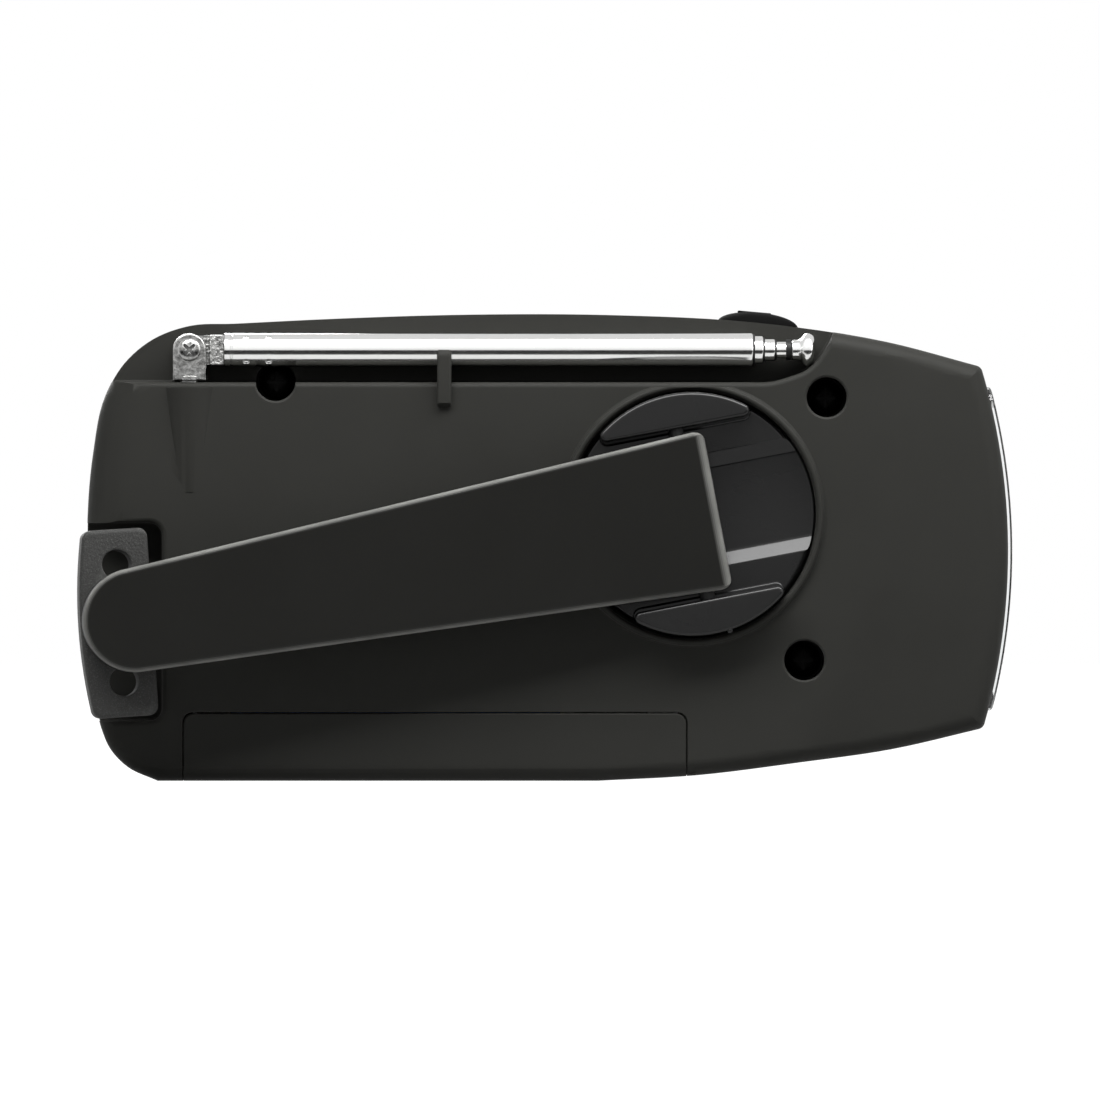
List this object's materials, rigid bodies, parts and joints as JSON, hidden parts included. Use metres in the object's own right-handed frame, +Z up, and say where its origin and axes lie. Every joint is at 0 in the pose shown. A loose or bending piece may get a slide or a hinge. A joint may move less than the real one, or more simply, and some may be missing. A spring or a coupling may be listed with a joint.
{
  "type": "portable radio",
  "caption": "Hand cranked portable radio with a torch end, a folding crank arm with a turning grip, a telescopic antenna, a battery door and front controls.",
  "frame": {"origin": "on the flat underside, half way along the length and the depth of the housing", "axes": "+X towards the torch end, +Y towards the front with the speaker, +Z up to the torch button"},
  "size_m": [0.1498, 0.0616, 0.0756],
  "materials": {
    "soft_black": "soft touch, matte",
    "lever_black": "moulded, satin",
    "gloss_black": "moulded, glossy",
    "rough_black": "moulded, rough and scuffed",
    "rubber": "matte",
    "chrome": "polished plating",
    "steel": "plain",
    "copper": "enamelled copper wire",
    "white_nylon": "natural nylon",
    "board_green": "coated board",
    "ferrite": "sintered",
    "paper_black": "pressed paper",
    "cell_blue": "sleeved cell",
    "clear": "clear polished plastic",
    "silver": "vacuum metallised",
    "amber": "translucent",
    "pale_grey": "satin"
  },
  "bodies": {
    "housing": {"rear_shell": "soft_black", "front_shell": "soft_black", "housing_screw_1": "steel", "housing_screw_2": "steel", "housing_screw_3": "steel", "housing_screw_4": "steel", "torch_lens": "clear", "reflector": "silver", "lamp_board": "board_green", "torch_lamp_1": "clear", "torch_lamp_2": "clear", "torch_lamp_3": "clear", "circuit_board": "board_green", "speaker_frame": "steel", "speaker_magnet": "steel", "speaker_cone": "paper_black", "tuning_capacitor": "pale_grey", "volume_pot": "steel", "band_switch_body": "steel", "ferrite_rod": "ferrite", "ferrite_coil": "copper", "dynamo": "steel", "gear_bracket": "white_nylon", "rotor_bearing": "white_nylon", "intermediate_axle": "steel", "battery_cell": "cell_blue", "battery_spring": "steel", "battery_plate": "steel", "socket_block": "rough_black", "charge_lens": "amber", "dial_ring": "pale_grey", "torch_switch": "steel", "antenna_base": "chrome", "antenna_screw": "chrome"},
    "crank": {"crank_rotor": "gloss_black", "rotor_shaft": "steel", "drive_gear": "white_nylon", "hinge_pin": "steel"},
    "arm": {"crank_arm": "lever_black", "grip_pin": "steel"},
    "grip": {"crank_grip": "rough_black"},
    "intermediate": {"intermediate_gear": "white_nylon"},
    "dynamo_rotor": {"dynamo_pinion": "white_nylon"},
    "antenna": {"antenna_tube": "chrome"},
    "section_2": {"antenna_section_2": "chrome"},
    "section_3": {"antenna_section_3": "chrome"},
    "section_4": {"antenna_section_4": "chrome", "antenna_tip": "chrome"},
    "door": {"battery_door": "soft_black"},
    "button": {"torch_button": "gloss_black"},
    "tuning": {"tuning_knob": "gloss_black"},
    "volume": {"volume_knob": "gloss_black"},
    "band": {"band_switch": "gloss_black"},
    "cover": {"socket_cover": "rubber"}
  },
  "joints": [
    {"name": "crank_spin", "type": "hinge", "parent": "housing", "child": "crank", "pos_m": [0.02301, -0.02, 0.0427], "axis": [0, -1, 0], "continuous": true},
    {"name": "crank_unfold", "type": "hinge", "parent": "crank", "child": "arm", "pos_m": [0.02301, -0.0239, 0.0427], "axis": [-0.1872, 0, 0.9823], "range_deg": [-5, 175]},
    {"name": "grip_spin", "type": "hinge", "parent": "arm", "child": "grip", "pos_m": [-0.06795, -0.032, 0.02537], "axis": [0.0856, -0.9962, 0.0163], "continuous": true},
    {"name": "intermediate_spin", "type": "hinge", "parent": "housing", "child": "intermediate", "pos_m": [0.00388, -0.01, 0.04782], "axis": [0, -1, 0], "continuous": true},
    {"name": "dynamo_spin", "type": "hinge", "parent": "housing", "child": "dynamo_rotor", "pos_m": [-0.01388, -0.006, 0.04136], "axis": [0, -1, 0], "continuous": true},
    {"name": "antenna_raise", "type": "hinge", "parent": "housing", "child": "antenna", "pos_m": [-0.05739, -0.0168, 0.069], "axis": [0, -1, 0], "range_deg": [0, 180]},
    {"name": "section_2_slide", "type": "slide", "parent": "antenna", "child": "section_2", "axis": [1, 0, 0], "range_m": [0, 0.0256]},
    {"name": "section_3_slide", "type": "slide", "parent": "section_2", "child": "section_3", "axis": [1, 0, 0], "range_m": [0, 0.0256]},
    {"name": "section_4_slide", "type": "slide", "parent": "section_3", "child": "section_4", "axis": [1, 0, 0], "range_m": [0, 0.0256]},
    {"name": "door_slide", "type": "slide", "parent": "housing", "child": "door", "axis": [0, -1, 0], "range_m": [0, 0.03]},
    {"name": "button_press", "type": "slide", "parent": "housing", "child": "button", "axis": [-0.0872, 0, -0.9962], "range_m": [0, 0.001], "stiffness_N_per_m": 400, "springref_m": -0.001},
    {"name": "tuning_turn", "type": "hinge", "parent": "housing", "child": "tuning", "pos_m": [0.02399, 0.02, 0.03003], "axis": [0, 1, 0], "range_deg": [-150, 150]},
    {"name": "volume_turn", "type": "hinge", "parent": "housing", "child": "volume", "pos_m": [0.00507, 0.02, 0.05797], "axis": [0, 1, 0], "range_deg": [0, 270]},
    {"name": "band_slide", "type": "slide", "parent": "housing", "child": "band", "axis": [1, 0, 0], "range_m": [0, 0.005]},
    {"name": "cover_open", "type": "hinge", "parent": "housing", "child": "cover", "pos_m": [0.0437, 0, 0.00336], "axis": [0, -1, 0], "range_deg": [0, 90]}
  ],
  "couplings": [
    {"joint": "intermediate_spin", "follows": "crank_spin", "ratio": -2.6667},
    {"joint": "dynamo_spin", "follows": "crank_spin", "ratio": 6.6667},
    {"joint": "section_2_slide", "follows": "antenna_raise", "m_per_rad": 0.008},
    {"joint": "section_3_slide", "follows": "antenna_raise", "m_per_rad": 0.008},
    {"joint": "section_4_slide", "follows": "antenna_raise", "m_per_rad": 0.008}
  ]
}
